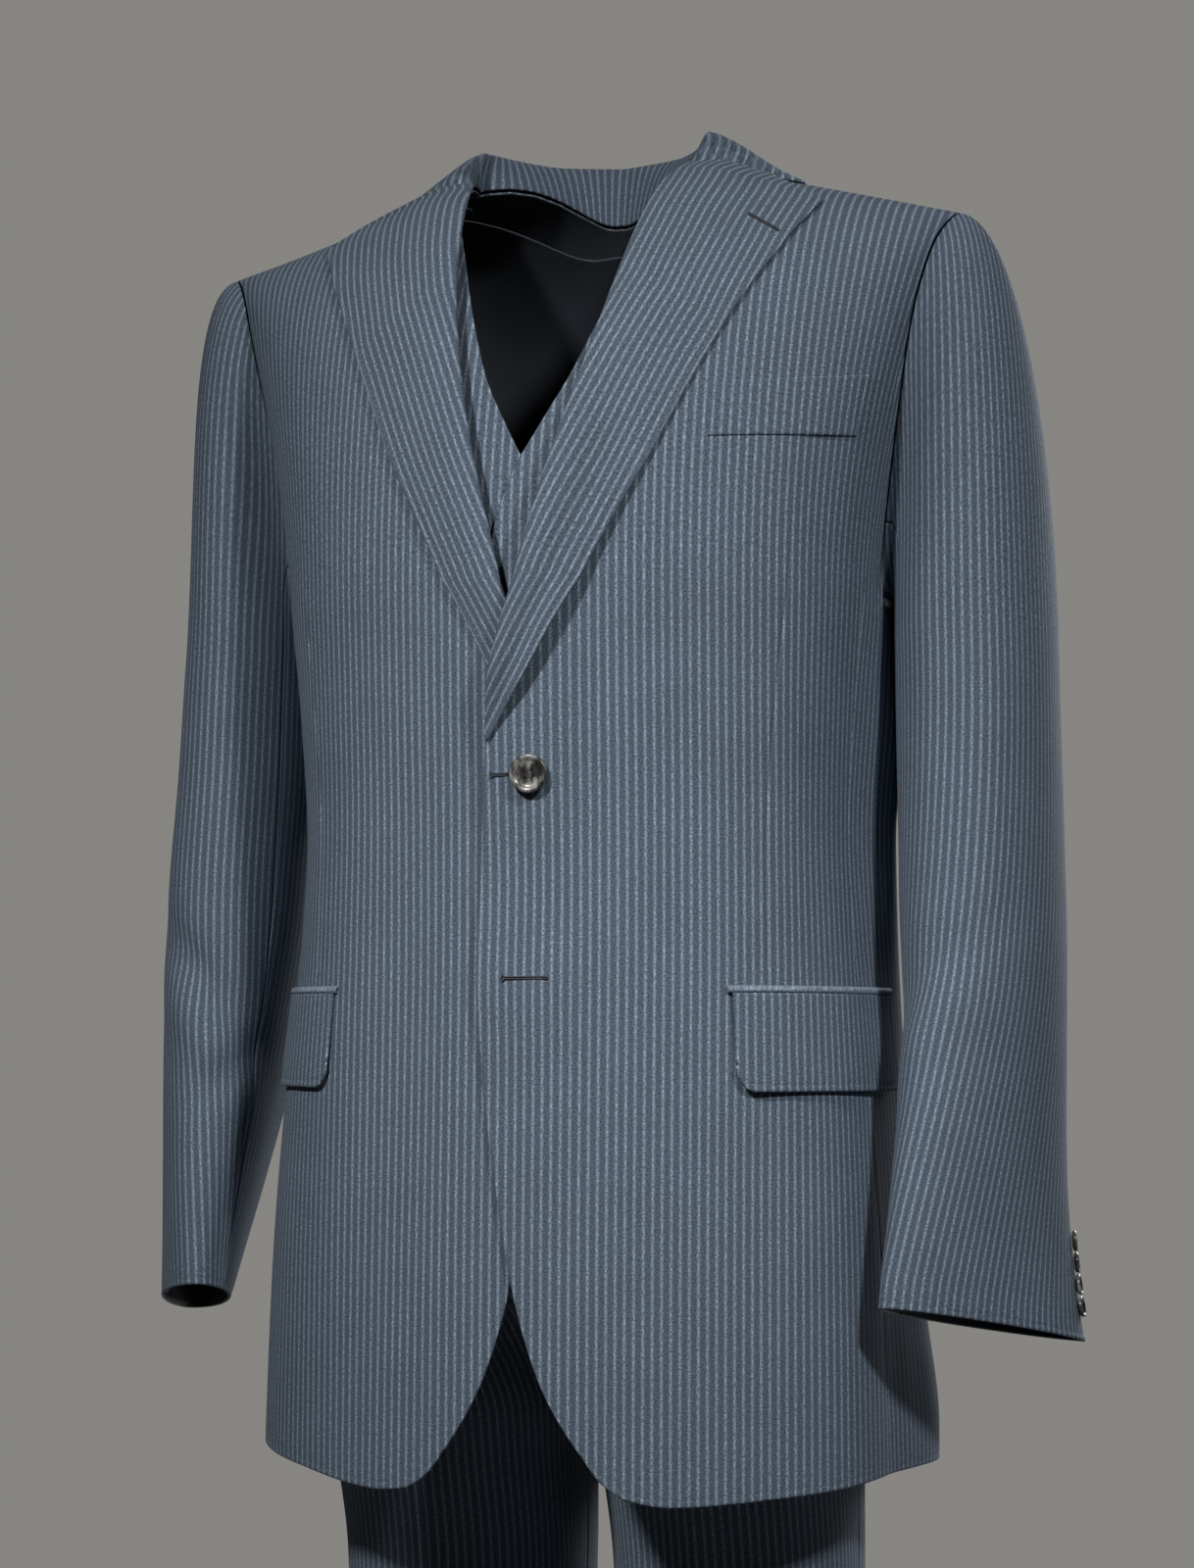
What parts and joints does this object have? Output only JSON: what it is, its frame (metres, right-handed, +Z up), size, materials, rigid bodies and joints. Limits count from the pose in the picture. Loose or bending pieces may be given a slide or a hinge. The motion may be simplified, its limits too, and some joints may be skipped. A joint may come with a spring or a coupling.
{
  "type": "three-piece suit",
  "caption": "Three-piece suit as worn: two-button striped wool jacket with notch lapels, waistcoat and trousers, in the form of the body.",
  "frame": {"origin": "middle of the neck opening, level with the jacket's highest shoulder points", "axes": "+Z up, -Y to the wearer's front, +X to the wearer's left"},
  "size_m": [0.5627, 0.2972, 1.4768],
  "materials": {
    "suit_wool": "matte",
    "vest_back": "satin",
    "horn": "satin"
  },
  "bodies": {
    "root": {"front_left": "suit_wool", "front_right": "suit_wool", "side_left": "suit_wool", "side_right": "suit_wool", "back_left": "suit_wool", "back_right": "suit_wool", "lapel_left": "suit_wool", "lapel_right": "suit_wool", "sleeve_top_left": "suit_wool", "sleeve_top_right": "suit_wool", "sleeve_under_left": "suit_wool", "sleeve_under_right": "suit_wool", "flap_left": "suit_wool", "flap_right": "suit_wool", "jet_left": "suit_wool", "jet_right": "suit_wool", "vest_front_left": "suit_wool", "vest_front_right": "suit_wool", "trouser_front_left": "suit_wool", "trouser_front_right": "suit_wool", "trouser_back_left": "suit_wool", "trouser_back_right": "suit_wool", "collar": "suit_wool", "breast_welt": "suit_wool", "waistband": "suit_wool", "vest_back": "vest_back", "button_upper": "horn", "button_lower": "horn", "cuff_button_left_1": "horn", "cuff_button_left_2": "horn", "cuff_button_left_3": "horn", "cuff_button_left_4": "horn", "cuff_button_right_1": "horn", "cuff_button_right_2": "horn", "cuff_button_right_3": "horn", "cuff_button_right_4": "horn", "vest_button_1": "horn", "vest_button_2": "horn", "vest_button_3": "horn", "vest_button_4": "horn", "vest_button_5": "horn"}
  },
  "joints": []
}
